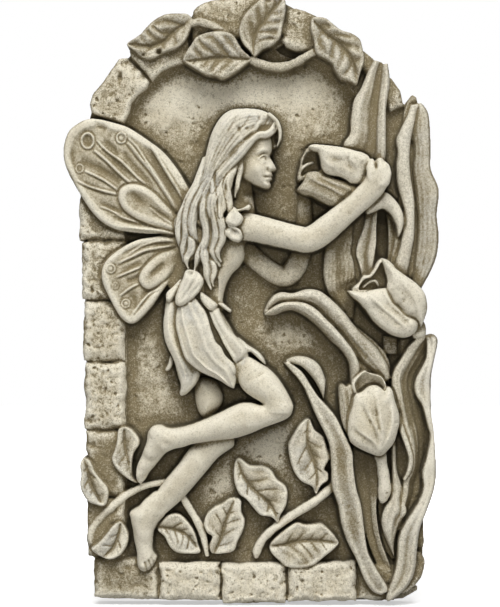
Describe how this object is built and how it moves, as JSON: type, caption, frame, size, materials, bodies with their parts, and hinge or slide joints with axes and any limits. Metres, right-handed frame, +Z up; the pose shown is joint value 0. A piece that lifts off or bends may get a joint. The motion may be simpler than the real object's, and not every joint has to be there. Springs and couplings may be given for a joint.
{
  "type": "fairy wall plaque",
  "caption": "Cast-stone wall plaque: a winged fairy in relief holds a tulip inside a brick arch with vines and tall leaves; flat back with a hanging pocket.",
  "frame": {"origin": "on the flat back, at the centre of the plaque's width and height", "axes": "+Z up, +Y out of the back into the wall, the relief faces -Y, +X to the right of a person who looks at the relief"},
  "size_m": [0.189, 0.0449, 0.305],
  "materials": {
    "cast_stone": "matte, antiqued with a dark wash in the hollows"
  },
  "bodies": {
    "root": {"fairy_plaque": "cast_stone"}
  },
  "joints": []
}
